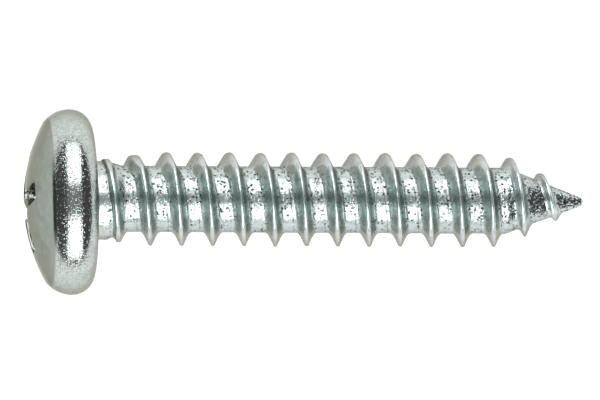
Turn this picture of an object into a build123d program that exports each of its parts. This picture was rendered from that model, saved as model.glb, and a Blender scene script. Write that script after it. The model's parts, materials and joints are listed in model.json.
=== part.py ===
from build123d import *

import os
from math import asin, atan, ceil, cos, degrees, pi, radians, sin, sqrt, tan

# A pan head tapping screw with a cross recess and a cone point, formed in one piece.
# Millimetres and degrees. The screw is modelled with its seat at the origin and its
# point towards +X, and is then laid down on its head rim and its thread.

# Head: a flat seat, a rounded side and a shallow dome
HEAD_D = 9.45
HEAD_H = 3.48
WIDEST_AT = 1.1  # height of the widest circle above the seat
UNDERSIDE_W = 1.05  # from the widest circle in to the flat seat
SHOULDER_W = 0.48  # from the widest circle in to the edge of the dome
DOME_R = 8.5
HEAD_LEAN = 1.4  # the head was struck slightly out of square with the shank

# Cross recess, four tapered wings with a pointed bottom
RECESS_SPAN = 5.0  # from wing end to wing end, where they meet the dome
WING_W = 1.0
WING_BOTTOM_W = 0.8
WING_END_ANGLE = 26.5  # slope of the wing ends from the axis
WING_DEPTH = 2.0  # from the top of the dome
RECESS_DEPTH = 2.6
RECESS_CORE_D = 1.8  # round middle that cuts the corners between the wings
RECESS_CORE_BOTTOM_D = 1.1
RECESS_TURN = -18.0  # of the wings about the axis, as the screw lies
RECESS_SHIFT = 0.09  # off the head's axis towards -Y

# Shank: a plain collar under the head, then the thread's core
LENGTH = 25.0  # from the seat to the point
COLLAR_D = 4.0
COLLAR_L = 0.75
COLLAR_RUN_OUT = 0.75  # cone from the collar down to the core
NECK_R = 0.2  # fillet between seat and collar
CORE_D = 3.38
POINT_ANGLE = 45.0
TIP_R = 0.24

# Thread: right-handed, narrow crest, steep upper flanks and a wide foot
PITCH = 1.6
CREST_D = 4.78
CREST_W = 0.1
MIDDLE_W = 0.42  # width of the ridge at half its height
ROOT_W = 0.42  # flat of the core between the feet of two turns
THREAD_AT = 0.58  # seat to the first place where the crest passes +Y
THREAD_START = 0.35
RUN_IN_END = 3.0  # the first turn is low and blunt up to here
RUN_IN_CREST_D = 4.3
RUN_IN_CREST_W = 0.45
FADE_L = 4.7  # the ridge gets lower over this last length
FADE_POWER = 1.6
BARE_TIP_L = 0.55  # the ridge ends this far short of the point
ROOT_SINK = 0.08  # the ridge's foot goes this far into the core
STATIONS_PER_TURN = 16


def point_apex():
    """The place on the axis where the point's cone would end if it were sharp."""
    return LENGTH + TIP_R * (1 / sin(radians(POINT_ANGLE / 2)) - 1)


def cone_start():
    """The place on the axis where the core turns into the point's cone."""
    return point_apex() - CORE_D / 2 / tan(radians(POINT_ANGLE / 2))


def core_radius(x):
    """Radius of the shank without its thread, x from the seat."""
    if x > cone_start():
        return (point_apex() - x) * tan(radians(POINT_ANGLE / 2))
    run_out = min(max((x - COLLAR_L) / COLLAR_RUN_OUT, 0), 1)
    return COLLAR_D / 2 + run_out * (CORE_D - COLLAR_D) / 2


def run_in(x):
    """0 on the blunt first turn and 1 on the full thread, with a smooth step between."""
    share = min(max((x - RUN_IN_END + PITCH / 2) / (PITCH / 2), 0), 1)
    return share * share * (3 - 2 * share)


def crest_radius(x):
    """Radius of the crest: low on the first turn, full, then falling to the core at the point."""
    full = (RUN_IN_CREST_D + run_in(x) * (CREST_D - RUN_IN_CREST_D)) / 2
    hidden = ROOT_SINK / 4
    if x < THREAD_START + PITCH / 4:
        start = COLLAR_D / 2 - hidden
        return start + (full - start) * (x - THREAD_START) / (PITCH / 4)
    if x <= LENGTH - FADE_L:
        return full
    fade = ((x - LENGTH + FADE_L) / (FADE_L - BARE_TIP_L)) ** FADE_POWER
    return core_radius(x) + (CREST_D - CORE_D) / 2 * (1 - fade) - hidden * fade


def crest_width(x):
    """Width of the crest's flat along the axis."""
    return RUN_IN_CREST_W + run_in(x) * (CREST_W - RUN_IN_CREST_W)


def thread_section(x):
    """The ridge's section in an axial plane: (offset along the axis, radius), left foot to right foot."""
    full_height = (CREST_D - CORE_D) / 2
    upper_slope = (MIDDLE_W - CREST_W) / full_height
    lower_slope = (PITCH - ROOT_W - MIDDLE_W) / full_height
    upper_share = full_height / 2 / (full_height + ROOT_SINK)
    crest_r = crest_radius(x)
    height_share = max(crest_r - core_radius(x), 0) / full_height
    foot_r = core_radius(x + height_share * (PITCH - ROOT_W) / 2) - ROOT_SINK
    upper = (crest_r - foot_r) * upper_share
    lower = (crest_r - foot_r) * (1 - upper_share)
    crest_half = crest_width(x) / 2
    middle_half = crest_half + upper * upper_slope
    foot_half = middle_half + lower * lower_slope
    right = [(crest_half, crest_r), (middle_half, crest_r - upper), (foot_half, foot_r)]
    return [(-offset, radius) for offset, radius in reversed(right)] + right


def helix_point(x, offset, radius):
    """A point of the thread. Its turn follows x, and passes +Y at THREAD_AT."""
    turn = 2 * pi * (x - THREAD_AT) / PITCH
    return (x + offset, radius * cos(turn), radius * sin(turn))


def thread():
    """The helical ridge: strips between neighbouring helical edges, closed by a face at each end."""
    ridge_l = LENGTH - BARE_TIP_L - THREAD_START
    count = ceil(ridge_l / PITCH * STATIONS_PER_TURN)
    stations = [THREAD_START + ridge_l * i / count for i in range(count + 1)]
    sections = [[helix_point(x, *corner) for corner in thread_section(x)] for x in stations]
    edges = [
        Edge.make_spline([section[i] for section in sections], parameters=stations)
        for i in range(len(sections[0]))
    ]
    strips = [
        Face.make_surface_from_curves(edges[i], edges[(i + 1) % len(edges)])
        for i in range(len(edges))
    ]
    ends = [Face(Wire.make_polygon(section, close=True)) for section in (sections[0], sections[-1])]
    return Solid(Shell(strips + ends))


def turned(outline):
    """The solid that a closed outline in the XY plane makes when it is turned about the X axis."""
    return revolve(make_face(outline), Axis.X)


def shank():
    """Collar, run-out, core and blunt cone point, reaching a little way into the head."""
    half_angle = radians(POINT_ANGLE / 2)
    tip_centre = LENGTH - TIP_R
    tangent_x = tip_centre + TIP_R * sin(half_angle)
    tangent_r = TIP_R * cos(half_angle)
    arc_middle = (tip_centre + TIP_R * cos(pi / 4 - half_angle / 2), TIP_R * sin(pi / 4 - half_angle / 2))
    corners = [
        (-WIDEST_AT, 0),
        (-WIDEST_AT, COLLAR_D / 2),
        (COLLAR_L, COLLAR_D / 2),
        (COLLAR_L + COLLAR_RUN_OUT, CORE_D / 2),
        (cone_start(), CORE_D / 2),
        (tangent_x, tangent_r),
    ]
    side = Polyline(*corners)
    tip = ThreePointArc(corners[-1], arc_middle, (LENGTH, 0))
    return turned(side + tip + Line((LENGTH, 0), corners[0]))


def head_blank():
    """Head without its recess: flat seat, elliptical underside, arched shoulder and spherical dome."""
    widest = (-WIDEST_AT, HEAD_D / 2)
    seat_r = HEAD_D / 2 - UNDERSIDE_W
    dome_centre = (DOME_R - HEAD_H, 0)
    edge_r = HEAD_D / 2 - SHOULDER_W
    edge_angle = degrees(asin(edge_r / DOME_R))
    edge_x = dome_centre[0] - sqrt(DOME_R**2 - edge_r**2)
    underside = EllipticalCenterArc((-WIDEST_AT, seat_r), WIDEST_AT, UNDERSIDE_W, 0, arc_size=90)
    shoulder = TangentArc(widest, (edge_x, edge_r), tangent=(-1, 0))
    dome = CenterArc(dome_centre, DOME_R, 180 - edge_angle, edge_angle)
    seat = Polyline((-HEAD_H, 0), (0, 0), (0, seat_r))
    return turned(underside + shoulder + dome + seat)


def section_at(depth, along, across):
    """A rectangle square to the axis, at a depth below the top of the dome."""
    return Plane(origin=(depth - HEAD_H, 0, 0), x_dir=(0, 1, 0), z_dir=(1, 0, 0)) * Rectangle(along, across)


def recess():
    """The cross recess: two crossed blades with a pointed bottom, and a round middle."""
    dome_drop = DOME_R - sqrt(DOME_R**2 - (RECESS_SPAN / 2) ** 2)
    above = -dome_drop

    def span(depth):
        return RECESS_SPAN - 2 * (depth - dome_drop) * tan(radians(WING_END_ANGLE))

    upper = loft([
        section_at(above, span(above), WING_W),
        section_at(WING_DEPTH, span(WING_DEPTH), WING_BOTTOM_W),
    ])
    lower = loft([
        section_at(WING_DEPTH, span(WING_DEPTH), WING_BOTTOM_W),
        section_at(RECESS_DEPTH, RECESS_CORE_BOTTOM_D / 2, WING_BOTTOM_W / 2),
    ])
    blade = upper + lower
    core_depth = WING_DEPTH - above
    core = Pos(above + core_depth / 2 - HEAD_H, 0, 0) * Rot(0, 90, 0) * Cone(
        RECESS_CORE_D / 2, RECESS_CORE_BOTTOM_D / 2, core_depth
    )
    return Pos(0, -RECESS_SHIFT, 0) * Rot(RECESS_TURN, 0, 0) * (blade + Rot(90, 0, 0) * blade + core)


def screw():
    """The whole screw, its seat at the origin and its point towards +X."""
    head = Rot(0, 0, HEAD_LEAN) * (head_blank() - recess())
    body = head + shank()
    neck = [
        edge for edge in body.edges()
        if abs(edge.center().X) < NECK_R and abs(edge.length - pi * COLLAR_D) < NECK_R
    ]
    return fillet(neck, NECK_R) + thread()


def reach(slope):
    """How far below the axis the head and the thread reach, square to a surface at this slope."""
    across = WIDEST_AT * sin(slope)
    down = UNDERSIDE_W * cos(slope)
    head = (HEAD_D / 2 - UNDERSIDE_W) * cos(slope) - across + sqrt(across**2 + down**2)
    underside = [THREAD_AT + PITCH * (turn + 0.75) for turn in range(int(LENGTH / PITCH) - 1)]
    crests = max(x * sin(slope) + crest_radius(x) * cos(slope) for x in underside)
    return head, crests


def rest_slope():
    """Slope of the axis when the head's rim and a crest near the point touch one surface."""
    low, high = 0.0, atan(HEAD_D / LENGTH)
    for _ in range(40):
        middle = (low + high) / 2
        head, crests = reach(middle)
        if crests < head:
            low = middle
        else:
            high = middle
    return low


def resting_place(solid):
    """Where the screw goes when it lies with its point towards +X, centred over the origin."""
    tilt = Rot(0, degrees(rest_slope()), 0)
    box = (tilt * solid).bounding_box()
    return Pos(-box.center().X, -box.center().Y, -box.min.Z) * tilt


os.makedirs("parts", exist_ok=True)
straight_screw = screw()
tapping_screw = resting_place(straight_screw) * straight_screw
export_step(tapping_screw, "parts/tapping_screw.step")
print("lies at", round(degrees(rest_slope()), 2), "degrees")
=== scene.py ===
"""A pan head tapping screw with a cross recess, bright zinc plated, lying on a white surface.

The screw is one closed mesh on a grid of rows along it and columns around it. Rows on the head,
neck and tip are rings. Rows on the thread follow its helix, so that crest and feet stay sharp.
"""

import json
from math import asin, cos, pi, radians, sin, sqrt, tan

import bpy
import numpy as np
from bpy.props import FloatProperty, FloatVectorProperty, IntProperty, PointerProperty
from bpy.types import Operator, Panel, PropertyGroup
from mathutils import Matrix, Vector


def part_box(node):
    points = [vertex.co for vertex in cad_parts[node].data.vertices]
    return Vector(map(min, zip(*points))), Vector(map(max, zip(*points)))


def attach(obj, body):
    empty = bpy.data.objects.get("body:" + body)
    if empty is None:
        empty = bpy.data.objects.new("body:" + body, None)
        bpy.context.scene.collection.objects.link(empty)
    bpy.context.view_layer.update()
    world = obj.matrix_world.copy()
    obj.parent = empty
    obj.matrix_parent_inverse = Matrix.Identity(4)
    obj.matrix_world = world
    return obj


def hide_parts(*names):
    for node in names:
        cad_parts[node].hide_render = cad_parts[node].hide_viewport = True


bl_info = {
    "name": "Pan Head Tapping Screw",
    "version": (1, 0, 0),
    "blender": (4, 5, 0),
    "location": "View3D > Sidebar > Screw",
    "description": "Builds a zinc plated tapping screw and the white table that it lies on",
    "category": "Add Mesh",
}

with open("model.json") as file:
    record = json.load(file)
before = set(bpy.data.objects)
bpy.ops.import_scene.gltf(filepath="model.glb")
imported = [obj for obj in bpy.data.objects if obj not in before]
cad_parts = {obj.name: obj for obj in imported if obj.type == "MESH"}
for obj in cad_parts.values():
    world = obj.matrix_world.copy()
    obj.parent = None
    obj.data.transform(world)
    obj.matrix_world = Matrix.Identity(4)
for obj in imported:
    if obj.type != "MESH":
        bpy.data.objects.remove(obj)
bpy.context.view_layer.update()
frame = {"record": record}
NODE = "tapping_screw"

# Rows of the grid in each part of the surface, in the order of the parts
ROWS = {
    "bottom": 8,
    "wall": 12,
    "rim": 4,
    "dome": 30,
    "shoulder": 12,
    "underside": 14,
    "seat": 8,
    "neck": 5,
    "collar": 3,
    "crest": 3,
    "flank": 2,
    "foot": 5,
    "root": 3,
    "cone": 4,
    "tip": 6,
}
DARK_DOME_ROWS = 2  # the dome's darker, greener plating goes on over so many rows of the shoulder
FOLD_ROW = 2  # the row of the root, counted within a turn, where the rolling left a fold

# Shares of one side of the ridge, from the middle of its crest: 1 is the foot and 2 the root's middle
CREST_END = 0.2
FLANK_END = 0.5

# Kinds of surface. The mesh keeps the share of each at its points, from 0 to 1, or to 1.5 if pitted
SURFACES = ("pitted", "folded", "sideways", "domed", "grained")


def length(name, mm, description):
    """A length property, given in millimetres and kept in metres."""
    return FloatProperty(
        name=name, description=description, default=mm / 1000, unit="LENGTH", precision=5
    )


def angle(name, turn, description):
    """An angle property, given in degrees and kept in radians."""
    return FloatProperty(
        name=name, description=description, default=radians(turn), subtype="ANGLE", unit="ROTATION"
    )


def tint(name, colour, description):
    """A colour property."""
    return FloatVectorProperty(
        name=name, description=description, default=colour, subtype="COLOR", min=0, max=1
    )


def light(name, radiance, description):
    """A brightness property, where 1 shows as white."""
    return FloatProperty(name=name, description=description, default=radiance, min=0, max=20)


def portion(name, share, description):
    """A property from 0 to 1."""
    return FloatProperty(name=name, description=description, default=share, min=0, max=1)


class HeadSizes(PropertyGroup):
    """Pan head: flat seat, rounded side, shallow dome."""

    diameter: length("Diameter", 9.45, "Widest circle of the head")
    height: length("Height", 3.48, "From the seat to the top of the dome")
    widest_at: length("Widest at", 1.1, "Height of the widest circle above the seat")
    underside_w: length("Underside width", 1.05, "From the widest circle in to the flat seat")
    shoulder_w: length("Shoulder width", 0.6, "From the widest circle in to the edge of the dome")
    dome_r: length("Dome radius", 8.5, "Radius of the domed top")
    lean: angle("Lean", 1.4, "How far the head is struck out of square with the shank")
    shift: length("Shift", 0.16, "How far the head is struck off the thread's axis")


class RecessSizes(PropertyGroup):
    """Cross recess: four tapered wings with a pointed bottom."""

    span: length("Span", 5.0, "From wing end to wing end, where they meet the dome")
    wing_w: length("Wing width", 1.0, "Width of a wing at the top of the dome")
    wing_bottom_w: length("Wing bottom width", 0.8, "Width of a wing at its bottom")
    wing_depth: length("Wing depth", 2.0, "From the top of the dome to the bottom of the wings")
    depth: length("Depth", 2.6, "From the top of the dome to the middle of the recess")
    core_d: length("Core diameter", 1.8, "Round middle between the wings, at the top")
    core_bottom_d: length("Core bottom diameter", 1.1, "Round middle between the wings, at the bottom")
    rim_r: length("Rim rounding", 0.07, "Rounding where the walls meet the dome")
    end_angle: angle("Wing end angle", 26.5, "Slope of the wing ends from the axis")
    shift: length("Shift", 0.09, "How far the recess is off the head's axis")
    turn: angle("Turn", -18.0, "Turn of the wings about the axis, as the screw lies")


class ShankSizes(PropertyGroup):
    """Plain collar under the head, core of the thread, and blunt point."""

    length: length("Length", 25.15, "From the seat to the point")
    collar_d: length("Collar diameter", 4.0, "Plain collar under the head")
    collar_l: length("Collar length", 0.75, "From the seat to the end of the collar")
    collar_run_out: length("Collar run-out", 0.75, "Cone from the collar down to the core")
    collar_shift: length("Collar shift", 0.1, "How far the collar is off the thread's axis")
    neck_r: length("Neck fillet", 0.2, "Fillet between the seat and the collar")
    core_d: length("Core diameter", 3.38, "Core that carries the thread")
    point_angle: angle("Point angle", 41.5, "Full angle of the cone point")
    tip_r: length("Tip radius", 0.27, "Rounding of the tip")
    point_shift: length("Point shift", 0.03, "How far the tip is off the thread's axis")


class ThreadSizes(PropertyGroup):
    """One right-handed helical ridge with a narrow crest and hollow feet."""

    pitch: length("Pitch", 1.6, "From one crest to the next")
    crest_d: length("Crest diameter", 4.78, "Over the crests")
    crest_w: length("Crest width", 0.12, "Flat of the crest along the axis")
    middle_w: length("Middle width", 0.4, "Width of the ridge at half its height")
    root_w: length("Root width", 0.58, "Flat of the core between two feet")
    at: length("Crest at", 0.58, "Seat to the first place where the crest passes +Y")
    start: length("Start", 0.5, "Where the ridge rises out of the collar")
    fuller: length("Fuller", 0.13, "Wider crest on the side at +Y, where the dies filled it better")
    run_in_end: length("Run-in end", 3.0, "The first turn is low and blunt up to here")
    run_in_crest_d: length("Run-in crest diameter", 4.42, "Over the blunt first turn")
    run_in_fuller: length("Run-in fuller", 0.31, "Wider crest of the first turn, at +Y")
    fade_l: length("Fade length", 5.0, "The ridge gets lower over this last length")
    to_head: portion("To head", 0.75, "Share of the fuller crest on its head side")
    turns: IntProperty(name="Turns", description="Whole turns of the ridge", default=15, min=1)
    columns: IntProperty(name="Columns", description="Grid columns around the screw", default=160)


class ZincFinish(PropertyGroup):
    """Bright zinc plating over rolled steel."""

    plating: tint("Plating", (0.47, 0.53, 0.525), "Clean plating")
    # Painted light: the flanks' brighter colour stands in for the light that they reflect from the room and
    # from the next turns.
    flank: tint("Flank", (0.60, 0.69, 0.685), "Brighter plating on the flanks of the ridge")
    # Painted reflection: the warmer colour on the ridge towards +Y and -Y stands in for the table reflected
    # in the ridge there.
    crest: tint("Crest", (0.46, 0.478, 0.455), "Warmer plating on the ridge towards +Y and -Y")
    side: tint("Side", (0.50, 0.55, 0.515), "Plating on the side of the head")
    # The dome's plating is darker and greener than the rest.
    dome: tint("Dome", (0.245, 0.272, 0.243), "Duller, greener plating on the dome")
    mark: tint("Marks", (0.30, 0.34, 0.335), "Plating in the uneven patches")
    # Painted shade: pits and folds are near-black for the shade in them.
    hollow: tint("Hollows", (0.03, 0.035, 0.035), "Pits and folds")
    stain: tint("Stains", (0.17, 0.19, 0.16), "Faint stains on the dome")
    edge: tint("Edge", (0.52, 0.50, 0.45), "Tint of the plating at a grazing angle")
    pit: length("Pit", 0.17, "Distance between the pits in the rolled core")
    grain: length("Grain", 0.105, "Size of the grain on the side of the head")
    patch: length("Patch", 0.45, "Size of the uneven patches of the plating")
    pit_depth: length("Pit depth", 0.008, "Depth of the pits and of the fold")
    dimple_height: length("Dimple height", 0.012, "Height of the dimples of the forged surface")
    grain_height: length("Grain height", 0.008, "Height of the grain on the side of the head")
    fine_height: length("Fine height", 0.002, "Height of the grain elsewhere")
    patch_height: length("Patch height", 0.008, "Height of the uneven patches")


class StageSettings(PropertyGroup):
    """Camera straight above, two soft boxes beside it, a dark room with a white horizon, and a
    white table."""

    distance: length("Camera distance", 520.0, "Camera to the middle of the screw")
    view_w: length("View width", 30.5, "Width that the frame covers at the screw's height")
    roll: angle("Camera roll", 0.31, "The screw lies turned by this in the photograph")
    aim_x: length("Aim along X", -0.12, "Place along X in the middle of the frame")
    aim_y: length("Aim along Y", 0.01, "Place along Y in the middle of the frame")
    table_r: length("Table radius", 3000.0, "Radius of the round table")
    box_w: length("Soft box width", 400.0, "Width of a soft box along the screw")
    box_distance: length("Soft box distance", 500.0, "Screw to the near and far edges of a soft box")
    upper_near: angle("Upper near edge", 23.0, "Near edge of the soft box at +Y, from the vertical")
    upper_far: angle("Upper far edge", 78.0, "Far edge of the soft box at +Y, from the vertical")
    lower_near: angle("Lower near edge", 19.0, "Near edge of the soft box at -Y, from the vertical")
    lower_far: angle("Lower far edge", 74.0, "Far edge of the soft box at -Y, from the vertical")
    upper_light: light("Upper light", 2.9, "Radiance of the soft box at +Y")
    lower_light: light("Lower light", 3.6, "Radiance of the soft box at -Y")
    zenith_light: light("Zenith light", 0.38, "Radiance of the room straight above")
    room_light: light("Room light", 0.1, "Radiance of the rest of the dark room")
    table_glow: light("Table glow", 0.45, "Added to the table where it is seen or reflected")
    horizon_glow: light("Horizon glow", 1.0, "White background beyond the table, seen or reflected")


def smooth(share):
    """A smooth step: 0 up to 0, 1 from 1 on, 3s^2 - 2s^3 between."""
    share = np.clip(share, 0, 1)
    return share * share * (3 - 2 * share)


def steps(part, first=0.0, last=1.0):
    """Even steps from the first value to the last, one for each row of this part of the surface.
    The first value is left out, because it belongs to the last row of the part before."""
    return np.linspace(first, last, ROWS[part] + 1)[1:, None]


def ripple(along, around, wavelength, seed, most_waves_around=5, waves=14):
    """Gentle unevenness of about unit size: the sum of sine waves with seeded directions and
    phases, each with a whole number of waves around the screw, so that it closes on itself."""
    rng = np.random.default_rng(seed)
    rates = rng.normal(0, 2 * pi / wavelength, waves)
    turns = rng.integers(-most_waves_around, most_waves_around + 1, waves)
    phases = rng.uniform(0, 2 * pi, waves)
    total = np.zeros(np.broadcast(along, around).shape)
    for rate, turn, phase in zip(rates, turns, phases):
        total = total + np.sin(rate * along + turn * around + phase)
    return total * sqrt(2 / waves)


def point_apex(shank):
    """Where the point's cone would end on the axis if it were sharp."""
    return shank.length + shank.tip_r * (1 / sin(shank.point_angle / 2) - 1)


def core_radius(x, shank):
    """Radius without the thread: the collar, a cone down to the core, the core, the point's cone."""
    cone = (point_apex(shank) - x) * tan(shank.point_angle / 2)
    run_out = np.clip((x - shank.collar_l) / shank.collar_run_out, 0, 1)
    body = shank.collar_d / 2 + run_out * (shank.core_d - shank.collar_d) / 2
    return np.minimum(body, cone)


def ridge_ends(columns, thread):
    """Where the ridge's crest starts and ends: it starts at the first column."""
    first = thread.at + thread.pitch * columns[0] / (2 * pi)
    return first, first + thread.turns * thread.pitch


def column_angles(thread, recess):
    """Angles of the grid's columns about the axis, from +Y towards +Z, over one turn and its end.
    They line up with the wings, and the first is the one nearest to the ridge's start."""
    step = 2 * pi / thread.columns
    start = 2 * pi * (thread.start - thread.at) / thread.pitch
    first = recess.turn + step * round((start - recess.turn) / step)
    return first + step * np.arange(thread.columns + 1)


def run_in(x, thread):
    """0 on the blunt first turn and 1 on the full thread."""
    return smooth((x - thread.run_in_end + thread.pitch / 2) / (thread.pitch / 2))


def crest_radius(x, first, last, shank, thread):
    """Radius of the crest: it rises out of the collar in an eighth of a turn, stays low on the
    first turn, is full up to the point, gets lower by a power of the way to just past the tip,
    and ends in an eighth of a turn."""
    ramp = thread.pitch / 8
    fade_l = 1.02 * thread.fade_l
    fade_power = 1.4
    full = (thread.run_in_crest_d + run_in(x, thread) * (thread.crest_d - thread.run_in_crest_d)) / 2
    risen = shank.collar_d / 2 + (full - shank.collar_d / 2) * smooth((x - first) / ramp)
    fade_from = shank.length - thread.fade_l
    fade = np.clip((x - fade_from) / fade_l, 0, 1)
    height = (thread.crest_d - shank.core_d) / 2 * (1 - fade**fade_power)
    faded = core_radius(x, shank) + height * smooth((last - x) / ramp)
    return np.where(fade > 0, np.minimum(faded, full), risen)


def reach_behind(x, first, last, thread):
    """How far a turn's share of the shank reaches back from its crest: half a pitch. At the ridge's
    start it is squeezed to almost nothing, and past its end it takes almost the whole pitch."""
    half = thread.pitch / 2
    squeezed = 0.00018
    opening = squeezed + (half - squeezed) * np.clip((x - first) / thread.pitch, 0, 1)
    return opening + (half - squeezed) * np.clip((x - last) / thread.pitch, 0, 1)


def section_shares():
    """Samples across one side of the ridge, from the middle of its crest out to the middle of the
    root: crest, flank, hollow foot and flat root."""
    parts = [
        np.zeros((1, 1)),
        steps("crest", 0, CREST_END),
        steps("flank", CREST_END, FLANK_END),
        steps("foot", FLANK_END, 1),
        steps("root", 1, 2),
    ]
    return np.concatenate(parts)[:, 0]


def ridge_side(share, crest_half, flank_more, scale, thread):
    """Offset from the crest's middle and height share of one side of the ridge. The crest is an
    arch, rounder where it is fuller, the flank is straight down to half the height, and the foot
    is a quadratic curve whose control point is where the flank's line meets the core."""
    narrow_arch, fuller_arch = 0.02, 0.05
    fullness = np.clip(2 * (crest_half - thread.crest_w / 2) / thread.fuller, 0, 1)
    arch = narrow_arch + fuller_arch * fullness
    middle = 0.5
    flank_w = (thread.middle_w - thread.crest_w) / 2 + flank_more
    foot_w = (thread.pitch - thread.root_w - thread.crest_w) / 2
    on_crest = np.clip(share / CREST_END, 0, 1)
    on_flank = np.clip((share - CREST_END) / (FLANK_END - CREST_END), 0, 1)
    on_foot = np.clip((share - FLANK_END) / (1 - FLANK_END), 0, 1)
    curve = (1 - on_foot) ** 2 + 4 * on_foot * (1 - on_foot)
    offset = np.where(share > FLANK_END, curve * flank_w + on_foot**2 * foot_w, on_flank * flank_w)
    straight = 1 - arch * on_crest**2 - (1 - middle - arch) * on_flank
    height = np.where(share > FLANK_END, middle * (1 - on_foot) ** 2, straight)
    return on_crest * crest_half + offset * scale, height


def recess_outline(depth, columns, recess, dome_drop):
    """Distance of the recess wall from the axis at a depth, for each column: the larger of two
    crossed rectangles and a circle. Each rectangle is the smaller of the distances to its end and
    to its side, and a high power mean rounds the corners of all."""
    share = np.clip((depth - dome_drop) / (recess.wing_depth - dome_drop), 0, 1)
    half_l = recess.span / 2 - (depth - dome_drop) * tan(recess.end_angle)
    half_w = (recess.wing_w + share * (recess.wing_bottom_w - recess.wing_w)) / 2
    core = (recess.core_d + share * (recess.core_bottom_d - recess.core_d)) / 2
    power = 16  # of the mean
    outline = core**power
    for quarter in (0, pi / 2):
        to_end = np.abs(np.cos(columns - recess.turn - quarter)) / half_l
        to_side = np.abs(np.sin(columns - recess.turn - quarter)) / half_w
        outline = outline + (to_end**power + to_side**power) ** -1.0
    return outline ** (1 / power)


def recess_rows(columns, head, recess):
    """Depths and distances from the axis of the recess, from the middle of its bottom out to just
    outside its rim. The bottom is a blunt cone, the walls taper, and the rim is a quarter circle
    that leans over to meet the dome."""

    def drop(distance):
        """Depth of the dome at a distance from the recess's own axis."""
        off_axis = distance**2 - 2 * distance * recess.shift * np.cos(columns) + recess.shift**2
        return head.dome_r - np.sqrt(head.dome_r**2 - off_axis)

    cone_power = 1.3
    rounds = 8
    end_drop = head.dome_r - sqrt(head.dome_r**2 - (recess.span / 2) ** 2)
    floor_outline = recess_outline(recess.wing_depth, columns, recess, end_drop)
    rim_depth = drop(floor_outline)
    for _ in range(rounds):
        rim_depth = drop(recess_outline(rim_depth, columns, recess, end_drop))
    out = np.linspace(0, 1, ROWS["bottom"] + 1)[:, None]
    bottom_r = out * floor_outline
    bottom_depth = recess.depth - (recess.depth - recess.wing_depth) * out**cone_power + 0 * bottom_r
    wall_end = rim_depth + recess.rim_r
    wall_depth = recess.wing_depth + (wall_end - recess.wing_depth) * steps("wall")
    wall_r = recess_outline(wall_depth, columns, recess, end_drop)
    corner_r = recess_outline(wall_end, columns, recess, end_drop)
    turn = steps("rim", 0, pi / 2)
    rim_out = corner_r + recess.rim_r * (1 - np.cos(turn))
    rim_up = drop(corner_r + recess.rim_r) + recess.rim_r * (1 - np.sin(turn))
    blend = np.sin(turn)
    rim_up = rim_up * blend + wall_end * (1 - blend)
    depths = np.concatenate([bottom_depth, wall_depth, rim_up])
    radii = np.concatenate([bottom_r, wall_r, rim_out])
    return depths, radii


def head_rows(columns, head, recess, shank):
    """Axial places and radii of the rings from the recess to the collar: the recess, the dome, an
    arched shoulder, an elliptical underside, the flat seat and the neck fillet. Then how far each
    ring of the recess and the dome is off the axis, which fades out over the dome, and the numbers
    of the last rings of the recess, the dome, the underside and the seat."""
    ring = np.ones_like(columns)
    depth, radius = recess_rows(columns, head, recess)
    parts_x = [depth - head.height]
    parts_r = [radius]

    edge_r = head.diameter / 2 - head.shoulder_w
    out = steps("dome")
    dome_r = radius[-1] + (edge_r - radius[-1]) * out
    shift = recess.shift * (1 - out)
    off_axis = dome_r**2 - 2 * dome_r * shift * np.cos(columns) + shift**2
    parts_x.append(head.dome_r - np.sqrt(head.dome_r**2 - off_axis) - head.height)
    parts_r.append(dome_r)
    shift = np.concatenate([recess.shift + 0 * depth[:, :1], shift])

    edge_drop = head.dome_r - sqrt(head.dome_r**2 - edge_r**2)
    shoulder_l = head.height - edge_drop - head.widest_at
    arc_r = (shoulder_l**2 + head.shoulder_w**2) / (2 * head.shoulder_w)
    arc = asin(shoulder_l / arc_r) * (1 - steps("shoulder"))
    parts_x.append((-head.widest_at - arc_r * np.sin(arc)) * ring)
    parts_r.append((head.diameter / 2 - arc_r * (1 - np.cos(arc))) * ring)

    seat_r = head.diameter / 2 - head.underside_w
    under = steps("underside", 0, pi / 2)
    parts_x.append((-head.widest_at * (1 - np.sin(under))) * ring)
    parts_r.append((seat_r + head.underside_w * np.cos(under)) * ring)

    fillet_r = shank.collar_d / 2 + shank.neck_r
    seat = steps("seat")
    parts_x.append(0 * seat * ring)
    parts_r.append((seat_r + (fillet_r - seat_r) * seat) * ring)

    neck = steps("neck", 0, pi / 2)
    parts_x.append(shank.neck_r * (1 - np.cos(neck)) * ring)
    parts_r.append((fillet_r - shank.neck_r * np.sin(neck)) * ring)
    ends = np.cumsum([len(part) for part in parts_x]) - 1
    return np.concatenate(parts_x), np.concatenate(parts_r), shift, ends[[0, 1, 3, 4]]


def tip_rows(columns, start_x, shank):
    """Axial places and radii of the rings of the last of the cone and of the round tip, an arc
    that the cone runs into."""
    half = shank.point_angle / 2
    cone_x = steps("cone", start_x, shank.length - shank.tip_r * (1 - sin(half)))
    turn = steps("tip", half, pi / 2)
    x = np.concatenate([cone_x, shank.length - shank.tip_r * (1 - np.sin(turn))])
    r = np.concatenate([(point_apex(shank) - cone_x) * tan(half), shank.tip_r * np.cos(turn)])
    ring = np.ones_like(columns)
    return x * ring, r * ring


def crest_halves(columns, crest, side, shank, thread):
    """Half width of the crest on one side, and how much wider its flank is. Both are larger where
    the dies filled the ridge better: fully near +Y, less near -Y, and not between or on the point.
    The first turn has the fullest crest, but no wider flanks."""
    at_minus_y = 0.45
    flank_share = 0.5
    step_w, step_from = 0.35, 1.6
    facing = smooth(np.abs(np.cos(columns)) / step_w - step_from)
    fuller = thread.run_in_fuller + run_in(crest, thread) * (thread.fuller - thread.run_in_fuller)
    fuller = fuller * np.where(side < 0, thread.to_head, 1 - thread.to_head)
    fuller = fuller * np.where(np.cos(columns) > 0, 1, at_minus_y) * facing
    before_fade = smooth(1 + (shank.length - thread.fade_l - crest) / thread.pitch)
    crest_half = thread.crest_w / 2 + fuller * before_fade
    return crest_half, flank_share * fuller * before_fade * run_in(crest, thread)


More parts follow.
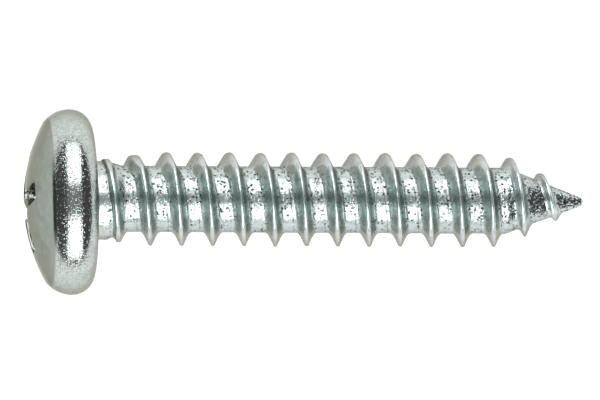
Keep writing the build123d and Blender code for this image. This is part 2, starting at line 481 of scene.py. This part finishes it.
def crest_unevenness(crest):
    """What is added to the crest's radius along the helix: a gentle swell, less a few nicks where
    the peaks of a finer ripple rise over a level."""
    swell, swell_l = 0.00001, 0.0011
    nick_depth, nick_l, nick_level = 0.00005, 0.0003, 1.6
    fine = ripple(crest, 0 * crest, nick_l, seed=7, most_waves_around=0, waves=30)
    coarse = ripple(crest, 0 * crest, swell_l, seed=5, most_waves_around=0)
    return swell * coarse - nick_depth * np.maximum(fine - nick_level, 0)


def thread_rows(columns, shank, thread):
    """Axial places, radii, pitted and folded shares of the helical rows, and the rows in a turn.
    Each row keeps its share of the ridge's section, and its crest moves on by a pitch per turn.
    A lower ridge is narrower, by a power of its height, and its feet stay within its reach. The
    flat root then takes the rest of the reach."""
    least_scale, scale_power = 0.2, 0.4
    foot_room = 0.85
    pitted_below = 0.3
    first, last = ridge_ends(columns, thread)
    half = section_shares()
    shares = np.concatenate([half[:0:-1], half[:-1]])
    sides = np.concatenate([-np.ones(len(half) - 1), np.ones(len(half) - 1)])
    per_turn = len(shares)
    turn, step = np.divmod(np.arange(thread.turns * per_turn + 1), per_turn)
    share = shares[step][:, None]
    side = sides[step][:, None]

    crest = first + thread.pitch * (turn[:, None] + (columns - columns[0]) / (2 * pi))
    behind = reach_behind(crest, first, last, thread)
    ahead = thread.pitch - reach_behind(crest + thread.pitch, first, last, thread)
    reach = np.where(side < 0, behind, ahead)
    crest_r = crest_radius(crest, first, last, shank, thread)
    height = np.maximum(crest_r - core_radius(crest, shank), 0)
    scale = np.clip(2 * height / (thread.crest_d - shank.core_d), least_scale, 1) ** scale_power
    crest_half, flank_more = crest_halves(columns, crest, side, shank, thread)

    foot_at = ridge_side(np.ones_like(crest), crest_half, flank_more, scale, thread)[0]
    squeeze = np.minimum(1, foot_room * reach / foot_at)
    on_ridge = np.minimum(share, 1) + 0 * crest
    offset, height_share = ridge_side(on_ridge, crest_half, flank_more, scale, thread)
    offset = offset * squeeze + (reach - foot_at * squeeze) * np.clip(share - 1, 0, 1)
    x = crest + side * offset
    core = core_radius(x, shank)
    radius = core + height_share * np.maximum(crest_r + crest_unevenness(crest) - core, 0)
    pitted = 1 - smooth(height_share / pitted_below)
    folded = 1.0 * (step[:, None] == FOLD_ROW) + 0 * x
    return x, radius, pitted, folded, per_turn


def wedge_rows(ring_x, edge_x, fan_x):
    """Axial places of the rows that fan out between a ring and the helical row next to it. At the
    wide end of the wedge they meet the places of one whole section, fan_x, and at the other end
    they run together."""
    share = (edge_x - ring_x) / (edge_x[np.argmax(np.abs(edge_x - ring_x))] - ring_x)
    return ring_x + (fan_x[:, None] - ring_x) * share


def screw_surface(columns):
    """All rows from the recess to the tip: axial places, radii and sideways shifts, the shares of
    the kinds of surface, the numbers of the rings before and after the thread, and the rows in a
    turn."""
    scene = bpy.context.scene
    head, recess, shank, thread = scene.screw_head, scene.screw_recess, scene.screw_shank, scene.screw_thread
    x, radius, recess_shift, last_rings = head_rows(columns, head, recess, shank)
    strip_x, strip_r, strip_pitted, strip_folded, per_turn = thread_rows(columns, shank, thread)
    before = strip_x[0, 0]
    after = strip_x[-1, -1]

    collar = steps("collar", x[-1, 0], before) + 0 * columns
    first_wedge = wedge_rows(before, strip_x[0], strip_x[1:per_turn, 0])
    last_wedge = wedge_rows(after, strip_x[-1], strip_x[1 - per_turn : -1, -1])
    ring_after = after + 0 * columns[None, :]
    tip_x, tip_r = tip_rows(columns, after, shank)
    ring_before = len(x) + len(collar) - 1
    ring_past = ring_before + 2 * per_turn + len(strip_x) - 1

    collar_pitted, wedge_pitted = 0.3, 0.5
    pieces_x = [x, collar, first_wedge, strip_x, last_wedge, ring_after, tip_x]
    plain = [core_radius(piece, shank) for piece in (collar, first_wedge, last_wedge, ring_after)]
    pieces_r = [radius, plain[0], plain[1], strip_r, plain[2], plain[3], tip_r]
    pitted = [0, collar_pitted, wedge_pitted, strip_pitted, 1, 1, 1]
    folded = [0, 0, 0, strip_folded, 0, 0, 0]
    pitted = np.concatenate([share + 0 * piece for share, piece in zip(pitted, pieces_x)])
    folded = np.concatenate([share + 0 * piece for share, piece in zip(folded, pieces_x)])
    x = np.concatenate(pieces_x)
    radius = np.concatenate(pieces_r)
    row = np.arange(len(x))[:, None] + 0 * x
    shift = sideways_shift(x, row, last_rings, head, shank)
    shift[: len(recess_shift)] += recess_shift
    shares = surface_shares(x, row, columns, pitted, folded, last_rings)
    return (x, radius, shift), shares, (ring_before, ring_past, per_turn)


def sideways_shift(x, row, last_rings, head, shank):
    """How far each ring is off the thread's axis: the head's shift, which becomes the collar's
    across the seat, fades out along the collar's cone, and becomes the point's near the tip."""
    bend_from = 0.82
    seat_row, neck_row = last_rings[2:]
    on_seat = np.clip((row - seat_row) / (neck_row - seat_row), 0, 1)
    fading = shank.collar_shift * (1 - smooth((x - shank.collar_l) / shank.collar_run_out))
    to_point = smooth((x / shank.length - bend_from) / (1 - bend_from))
    return head.shift + on_seat * (fading - head.shift) + shank.point_shift * to_point


def surface_shares(x, row, columns, pitted, folded, last_rings):
    """The share of each kind of surface at each point: pitted, more so on the point and fully in the recess,
    where the near-black pits paint the recess's shade, folded, sideways towards +Y or -Y, domed up to the
    end of the darker dome plating, and grained from there to the neck."""
    point_more = 0.5
    sideways_from, sideways_over = 0.5, 0.4
    shank, thread = bpy.context.scene.screw_shank, bpy.context.scene.screw_thread
    recess_end, dome_end, _, neck_row = last_rings
    on_point = smooth((x - shank.length + thread.fade_l) / thread.pitch)
    in_recess = row < recess_end - ROWS["rim"]
    dark_dome = row <= dome_end + DARK_DOME_ROWS
    sideways = smooth((np.abs(np.cos(columns)) - sideways_from) / sideways_over)
    values = (
        # Fully pitted in the recess: its near-black pits are painted shade.
        np.where(in_recess, 1, pitted) * (1 + point_more * on_point),
        folded,
        sideways + 0 * x,
        1.0 * dark_dome,
        1.0 * (~dark_dome & (row <= neck_row)),
    )
    return dict(zip(SURFACES, values))


def closed_faces(rows, count, ring_before, ring_past, per_turn):
    """Quads and triangles of the closed grid, as vertex numbers that face outwards. The rings
    close on themselves. A helical row goes on in the row one turn further. The wedges' rows run
    together in one corner each, and the first and last rings are single points."""
    ids = np.arange(rows * count).reshape(rows, count)
    ids[0] = ids[0, 0]
    ids[-1] = ids[-1, 0]
    ids[ring_before : ring_before + per_turn + 1, 0] = ids[ring_before, 0]
    row = np.arange(rows)
    helical = (row >= ring_before) & (row <= ring_past)
    goes_on = np.where(helical, np.minimum(row + per_turn, ring_past), row)
    ids = np.concatenate([ids, ids[goes_on, :1]], axis=1)
    corners = [ids[:-1, :-1], ids[:-1, 1:], ids[1:, 1:], ids[1:, :-1]]
    quads = np.stack(corners, axis=-1).reshape(-1, 4)
    same = quads == np.roll(quads, -1, axis=1)
    whole = quads[same.sum(axis=1) == 0]
    folded = same.sum(axis=1) == 1
    dropped = 4  # sorts after the four corners
    kept = np.sort(np.where(same[folded], dropped, [[0, 1, 2, 3]]), axis=1)[:, :3]
    triangles = np.take_along_axis(quads[folded], kept, axis=1)
    return whole, triangles


def screw_points(columns, x, radius, shift):
    """Points of the screw in the frame. The head is leaned about the middle of its seat, which
    fades out along the collar, and every ring has its shift towards -Y. Small ripples, which fade
    out towards the axis, make the surface uneven."""
    calm_r = 0.0002
    swell_r, swell_r_l = 0.000004, 0.0016
    swell_x, swell_x_l = 0.000003, 0.0012
    scene = bpy.context.scene
    around = columns[None, :] + 0 * x
    away = radius / (radius + calm_r)
    radius = radius + away * swell_r * ripple(x, around, swell_r_l, seed=11)
    x = x + away * swell_x * ripple(x + radius, around, swell_x_l, seed=12)
    y = radius * np.cos(around)
    z = radius * np.sin(around)
    lean = scene.screw_head.lean * (1 - smooth(x / scene.screw_shank.collar_l))
    leaned_x = x * np.cos(lean) - y * np.sin(lean)
    leaned_y = np.minimum(x, 0) * np.sin(lean) + y * np.cos(lean) - shift
    origin, axis = screw_axis()
    side = np.array([0.0, 1.0, 0.0])
    top = np.cross(axis, side)
    parts = [leaned_x[..., None] * axis, leaned_y[..., None] * side, z[..., None] * top]
    return origin + sum(parts)


def screw_axis():
    """The middle of the seat and the axis towards the point, from the frame's threaded mount,
    which stands at the end of the collar."""
    mounts = {mount["name"]: mount for mount in frame["record"]["mounts"]}
    mount = mounts["threaded_shank"]
    axis = np.array(mount["axis"])
    axis = axis / np.linalg.norm(axis)
    return np.array(mount["pos_m"]) - axis * bpy.context.scene.screw_shank.collar_l, axis


def mesh_object(name, points, quads, triangles, **shares):
    """A smooth object from points and faces, with a number for each point under each share's
    name. Points that no face uses are left out."""
    used, numbers = np.unique(np.concatenate([quads.ravel(), triangles.ravel()]), return_inverse=True)
    faces = numbers[: quads.size].reshape(-1, 4).tolist() + numbers[quads.size :].reshape(-1, 3).tolist()
    mesh = bpy.data.meshes.new(name)
    mesh.from_pydata(points[used].tolist(), [], faces)
    mesh.shade_smooth()
    for share, values in shares.items():
        attribute = mesh.attributes.new(share, "FLOAT", "POINT")
        attribute.data.foreach_set("value", values.ravel()[used].astype(np.float32))
    obj = bpy.data.objects.new(name, mesh)
    bpy.context.scene.collection.objects.link(obj)
    return obj


def fill(tree, socket, value):
    """Link a socket to another node's output, or give it a value of its own."""
    if isinstance(value, bpy.types.NodeSocket):
        tree.links.new(value, socket)
    else:
        socket.default_value = value


def node(tree, kind, **inputs):
    """A shader node with some of its sockets filled. A socket's name has _ for a space."""
    made = tree.nodes.new(kind)
    for name, value in inputs.items():
        fill(tree, made.inputs[name.replace("_", " ")], value)
    return made


def noise(tree, place, size, detail=4.0, roughness=0.55):
    """Noise whose cells are about this size, from 0 to 1."""
    look = {"Scale": 1 / size, "Detail": detail, "Roughness": roughness}
    return node(tree, "ShaderNodeTexNoise", Vector=place, **look).outputs["Fac"]


def spots(tree, place, size):
    """Random cells of about this size: the distance from the middle of the cell, and a random
    number of the cell from 0 to 1."""
    cells = node(tree, "ShaderNodeTexVoronoi", Vector=place, Scale=1 / size).outputs
    chance = node(tree, "ShaderNodeSeparateColor", Color=cells["Color"]).outputs["Red"]
    return cells["Distance"], chance


def between(tree, value, low, high, to_low=0.0, to_high=1.0):
    """A value carried from one range to another, and kept in it."""
    ranges = {"From_Min": low, "From_Max": high, "To_Min": to_low, "To_Max": to_high}
    return node(tree, "ShaderNodeMapRange", Value=value, **ranges).outputs["Result"]


def mixed(tree, share, first, second):
    """A mix of two colours: the first where the share is 0, the second where it is 1."""
    made = tree.nodes.new("ShaderNodeMix")
    made.data_type = "RGBA"
    for name, value in {"Factor": share, "A": first, "B": second}.items():
        fill(tree, made.inputs[name], value)
    return made.outputs["Result"]


def point_share(tree, name):
    """The number that the mesh keeps for each point under this name."""
    made = tree.nodes.new("ShaderNodeAttribute")
    made.attribute_name = name
    return made.outputs["Fac"]


def arithmetic(tree, kind, result, *others):
    """A sum, product or other result of some values, worked out from the first to the last."""
    for value in others:
        made = tree.nodes.new("ShaderNodeMath")
        made.operation = kind
        fill(tree, made.inputs[0], result)
        fill(tree, made.inputs[1], value)
        result = made.outputs[0]
    return result


def shaded_hollow_share(tree, finish, place, patches, shares):
    """1 in a pit or in the fold, 0 on even plating; the colour paints them near-black as painted shade, and
    their depth goes into the bump. A pit is a spot with a wobbly edge in a cell whose random number is over
    a level. That number is higher in clusters and on the point, where the extra pits also paint in the
    point's darker reflection, and lower towards -Y. There are hardly any pits on the head. The fold shows in
    some patches."""
    inner_edge, outer_edge, wobble_size = 0.27, 0.45, 0.22
    level, sure_level = 0.33, 0.43
    alone, clustered = 0.5, 1.3
    lower_side, upper_side = 0.55, 1.05
    on_point = 1.35
    on_head = 0.06
    fold_most = 0.7
    clusters = noise(tree, place, 4 * finish.pit, 1.0, 0.5)
    wobble = noise(tree, place, 0.4 * finish.pit, 1.0, 0.5)
    side = node(tree, "ShaderNodeSeparateXYZ", Vector=place).outputs["Y"]
    distance, chance = spots(tree, place, finish.pit)
    in_cluster = between(tree, clusters, 0.35, 0.65, alone, clustered)
    on_side = between(tree, side, -0.001, -0.0001, lower_side, upper_side)
    # More pits near the tip also paint in the point's darker reflection.
    near_tip = between(tree, shares["pitted"], 1, 1.5, 1, on_point)
    chance = arithmetic(tree, "MULTIPLY", chance, in_cluster, on_side, near_tip)
    edge = between(tree, wobble, 0.3, 0.7, -wobble_size, wobble_size)
    distance = arithmetic(tree, "ADD", distance, edge)
    spot = between(tree, distance, inner_edge, outer_edge, 1, 0)
    chosen = between(tree, chance, level, sure_level)
    allowed = between(tree, shares["pitted"], 0, 1, on_head, 1)
    pits = arithmetic(tree, "MULTIPLY", spot, chosen, allowed)
    on_fold = between(tree, shares["folded"], 0.4, 0.9)
    shown = between(tree, patches, 0.45, 0.6, 0, fold_most)
    return arithmetic(tree, "MAXIMUM", pits, arithmetic(tree, "MULTIPLY", on_fold, shown))


def plating_colour(tree, finish, place, patches, grain, shares):
    """The even plating: brighter on the flanks of the ridge, a painted light for what they reflect, warmer
    there towards +Y and -Y, a painted reflection of the table, plain on the core, worn in the grain of the
    head's side, darker, greener and stained on the dome, and marked in patches."""
    stained = between(tree, noise(tree, place, 2.5 * finish.patch, 4.0, 0.6), 0.5, 0.7, 0, 0.6)
    worn = between(tree, grain, 0.35, 0.65, 0.75, 0)
    worn = arithmetic(tree, "MULTIPLY", shares["grained"], worn)
    marked = between(tree, patches, 0.5, 0.75, 0, 0.8)
    # Painted light: brighter flanks, and a warmer painted reflection of the table on the ridge towards +Y
    # and -Y.
    colour = mixed(tree, shares["sideways"], (*finish.flank, 1), (*finish.crest, 1))
    colour = mixed(tree, shares["pitted"], colour, (*finish.plating, 1))
    colour = mixed(tree, shares["grained"], colour, (*finish.side, 1))
    # Darker, greener plating on the dome, with stains.
    dark_dome = mixed(tree, stained, (*finish.dome, 1), (*finish.stain, 1))
    colour = mixed(tree, shares["domed"], colour, dark_dome)
    colour = mixed(tree, worn, colour, (*finish.mark, 1))
    return mixed(tree, marked, colour, (*finish.mark, 1))


def plating_roughness(tree, patches, shares):
    """The plating's roughness: more in patches, less on the head and on the point."""
    smoothest, patchy = 0.1, 0.2
    off_head, on_point = 0.14, 0.12
    headed = arithmetic(tree, "MAXIMUM", shares["grained"], shares["domed"])
    rough = between(tree, patches, 0.35, 0.7, smoothest, patchy)
    rough = arithmetic(tree, "ADD", rough, between(tree, headed, 0, 1, off_head, 0))
    return arithmetic(tree, "SUBTRACT", rough, between(tree, shares["pitted"], 1, 1.5, 0, on_point))


def plating_height(tree, finish, place, patches, grain, shaded_hollows, shares):
    """The height of the unevenness that is too fine for the mesh: grain, patches, and dimples on the head's
    side, the core and the point, less the depth of the pits and the fold."""
    on_side, on_core = 0.78, 1.1
    distance, chance = spots(tree, place, finish.grain)
    spot = between(tree, distance, 0.1, 0.5, 1, 0)
    dimples = arithmetic(tree, "MULTIPLY", spot, between(tree, chance, 0.22, 0.37))
    side = arithmetic(tree, "MULTIPLY", shares["grained"], on_side)
    core = arithmetic(tree, "MULTIPLY", shares["pitted"], on_core)
    dimpled = arithmetic(tree, "MAXIMUM", side, core)
    dimpled = arithmetic(tree, "MULTIPLY", dimpled, finish.dimple_height)
    grain_height = between(tree, shares["grained"], 0, 1, finish.fine_height, finish.grain_height)
    grains = arithmetic(tree, "MULTIPLY", grain, grain_height)
    raised = arithmetic(tree, "MULTIPLY", patches, finish.patch_height)
    height = arithmetic(tree, "ADD", grains, raised, arithmetic(tree, "MULTIPLY", dimples, dimpled))
    return arithmetic(tree, "SUBTRACT", height, arithmetic(tree, "MULTIPLY", shaded_hollows, finish.pit_depth))


def zinc_plating():
    """Bright zinc over rolled steel, from the shares of the kinds of surface that the mesh keeps: pitted on
    the core and the point, with a fold along the root, the pits and the fold painted near-black as shade,
    brighter on the flanks of the ridge as painted light, warmer towards +Y and -Y as a painted reflection of
    the table, grained on the side of the head, darker and greener on the dome, and uneven everywhere."""
    finish = bpy.context.scene.screw_finish
    material = bpy.data.materials.new("bright_zinc_plating")
    material.use_nodes = True
    tree = material.node_tree
    shader = tree.nodes["Principled BSDF"].inputs
    place = tree.nodes.new("ShaderNodeTexCoord").outputs["Object"]
    shares = {name: point_share(tree, name) for name in SURFACES}
    patches = noise(tree, place, finish.patch, 5.0, 0.6)
    grain = noise(tree, place, finish.grain, 2.0, 0.6)
    shaded_hollows = shaded_hollow_share(tree, finish, place, patches, shares)
    colour = plating_colour(tree, finish, place, patches, grain, shares)
    height = plating_height(tree, finish, place, patches, grain, shaded_hollows, shares)
    normal = node(tree, "ShaderNodeBump", Height=height, Distance=1.0, Strength=1.0)
    # Painted shade: the pits and the fold take the near-black colour.
    fill(tree, shader["Base Color"], mixed(tree, shaded_hollows, colour, (*finish.hollow, 1)))
    fill(tree, shader["Roughness"], plating_roughness(tree, patches, shares))
    fill(tree, shader["Normal"], normal.outputs["Normal"])
    shader["Metallic"].default_value = 1.0
    shader["Specular Tint"].default_value = (*finish.edge, 1)
    return material


def seen_share(tree):
    """1 for what the camera sees, straight or in a reflection or through glass, 0 for light."""
    path = tree.nodes.new("ShaderNodeLightPath").outputs
    rays = path["Is Camera Ray"], path["Is Glossy Ray"], path["Is Transmission Ray"]
    return arithmetic(tree, "MAXIMUM", *rays)


def table_white():
    """A faintly clouded white table that shows white to the camera and in reflections, more so far
    away, and keeps its shadow."""
    grey, pale = 0.84, 0.86
    cloud_size = 0.004
    glow_from, glow_full = 0.3, 1.0
    stage = bpy.context.scene.screw_stage
    material = bpy.data.materials.new("white_table")
    material.use_nodes = True
    tree = material.node_tree
    shader = tree.nodes["Principled BSDF"].inputs
    place = tree.nodes.new("ShaderNodeTexCoord").outputs["Object"]
    cloud = between(tree, noise(tree, place, cloud_size), 0.3, 0.7)
    colour = mixed(tree, cloud, (grey, grey, grey, 1), (pale, pale, pale, 1))
    away = tree.nodes.new("ShaderNodeVectorMath")
    away.operation = "LENGTH"
    fill(tree, away.inputs[0], place)
    far = away.outputs["Value"]
    glow = between(tree, far, glow_from, glow_full, stage.table_glow, stage.horizon_glow)
    fill(tree, shader["Base Color"], colour)
    fill(tree, shader["Emission Strength"], arithmetic(tree, "MULTIPLY", glow, seen_share(tree)))
    shader["Roughness"].default_value = 0.8
    shader["Emission Color"].default_value = (1, 1, 1, 1)
    return material


class MESH_OT_tapping_screw(Operator):
    """Build the screw in place of the CAD screw, as one closed mesh"""

    bl_idname = "mesh.tapping_screw"
    bl_label = "Tapping Screw"

    def execute(self, context):
        thread = context.scene.screw_thread
        columns = column_angles(thread, context.scene.screw_recess)
        rows, shares, seams = screw_surface(columns)
        points = screw_points(columns, *rows)[:, :-1].reshape(-1, 3)
        quads, triangles = closed_faces(len(rows[0]), thread.columns, *seams)
        kept = {name: share[:, :-1] for name, share in shares.items()}
        screw = mesh_object("zinc_screw", points, quads, triangles, **kept)
        screw.data.materials.append(zinc_plating())
        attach(screw, "root")
        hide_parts(NODE)
        return {"FINISHED"}


def table():
    """A wide flat disc. Its rings are closer near the screw, by the cube of their number."""
    count, rings = 48, 12
    around = np.linspace(0, 2 * pi, count, endpoint=False)
    out = np.linspace(0, 1, rings + 1)[:, None] ** 3
    distance = bpy.context.scene.screw_stage.table_r * out + 0 * around
    points = np.stack([distance * np.cos(around), distance * np.sin(around), 0 * distance], axis=-1)
    ids = np.arange(points.shape[0] * count).reshape(-1, count)
    ids[0] = 0
    ids = np.concatenate([ids, ids[:, :1]], axis=1)
    corners = [ids[:-1, :-1], ids[1:, :-1], ids[1:, 1:], ids[:-1, 1:]]
    quads = np.stack(corners, axis=-1).reshape(-1, 4)
    return mesh_object("table", points.reshape(-1, 3), quads[count:], quads[:count, :3])


def dark_room():
    """A dark room that gets lighter towards the zenith, with a white background at the horizon
    where it is seen or reflected. Heights are sines of the angle over the horizon."""
    lighter_from, lightest_from = 0.8, 0.97
    white_to, room_from = 0.06, 0.12
    stage = bpy.context.scene.screw_stage
    world = bpy.data.worlds.new("dark_room")
    world.use_nodes = True
    tree = world.node_tree
    place = tree.nodes.new("ShaderNodeTexCoord").outputs["Generated"]
    height = node(tree, "ShaderNodeSeparateXYZ", Vector=place).outputs["Z"]
    room = between(tree, height, lighter_from, lightest_from, stage.room_light, stage.zenith_light)
    white = between(tree, height, white_to, room_from, stage.horizon_glow - stage.room_light, 0)
    white = arithmetic(tree, "MULTIPLY", white, seen_share(tree))
    background = tree.nodes["Background"].inputs
    background["Color"].default_value = (1, 1, 1, 1)
    fill(tree, background["Strength"], arithmetic(tree, "ADD", room, white))
    return world


def soft_box(name, side, near, far, radiance):
    """A flat soft box along X, from one angle off the vertical to another, on one side in Y."""
    stage = bpy.context.scene.screw_stage
    low = Vector((0, side * sin(far), cos(far))) * stage.box_distance
    high = Vector((0, side * sin(near), cos(near))) * stage.box_distance
    up = (high - low).normalized()
    across = Vector((-side, 0, 0))
    back = across.cross(up)
    glowing = bpy.data.lights.new(name, "AREA")
    glowing.shape = "RECTANGLE"
    glowing.size = stage.box_w
    glowing.size_y = (high - low).length
    glowing.energy = radiance * pi * glowing.size * glowing.size_y
    lamp = bpy.data.objects.new(name, glowing)
    turned = Matrix((across, up, back)).transposed().to_4x4()
    lamp.matrix_world = Matrix.Translation((low + high) / 2) @ turned
    bpy.context.scene.collection.objects.link(lamp)


class SCENE_OT_photo_stage(Operator):
    """Set up the table, the two soft boxes, the dark room above and the camera"""

    bl_idname = "scene.photo_stage"
    bl_label = "Photo Stage"

    def execute(self, context):
        scene = context.scene
        stage = scene.screw_stage
        floor = table()
        floor.data.materials.append(table_white())
        soft_box("soft_box_above", 1, stage.upper_near, stage.upper_far, stage.upper_light)
        soft_box("soft_box_below", -1, stage.lower_near, stage.lower_far, stage.lower_light)
        scene.world = dark_room()

        camera = bpy.data.cameras.new("camera")
        camera.lens = camera.sensor_width * stage.distance / stage.view_w
        camera.clip_start = 0.01
        eye = bpy.data.objects.new("camera", camera)
        eye.location = (stage.aim_x, stage.aim_y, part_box(NODE)[1].z / 2 + stage.distance)
        eye.rotation_euler = (0, 0, stage.roll)
        scene.collection.objects.link(eye)
        scene.camera = eye
        scene.view_settings.view_transform = "Standard"
        return {"FINISHED"}


class VIEW3D_PT_tapping_screw(Panel):
    """Sizes, finish and stage of the screw"""

    bl_label = "Tapping Screw"
    bl_space_type = "VIEW_3D"
    bl_region_type = "UI"
    bl_category = "Screw"

    def draw(self, context):
        for operator in (MESH_OT_tapping_screw, SCENE_OT_photo_stage):
            self.layout.operator(operator.bl_idname)
        for name, group in GROUPS.items():
            box = self.layout.box()
            for prop in group.__annotations__:
                box.prop(getattr(context.scene, name), prop)


GROUPS = {
    "screw_head": HeadSizes,
    "screw_recess": RecessSizes,
    "screw_shank": ShankSizes,
    "screw_thread": ThreadSizes,
    "screw_finish": ZincFinish,
    "screw_stage": StageSettings,
}
CLASSES = (*GROUPS.values(), MESH_OT_tapping_screw, SCENE_OT_photo_stage, VIEW3D_PT_tapping_screw)


def register():
    for cls in CLASSES:
        bpy.utils.register_class(cls)
    for name, group in GROUPS.items():
        setattr(bpy.types.Scene, name, PointerProperty(type=group))


def unregister():
    for name in GROUPS:
        delattr(bpy.types.Scene, name)
    for cls in reversed(CLASSES):
        bpy.utils.unregister_class(cls)


def main():
    """Build everything."""
    register()
    bpy.ops.scene.photo_stage()
    bpy.ops.mesh.tapping_screw()


if __name__ == "__main__":
    main()
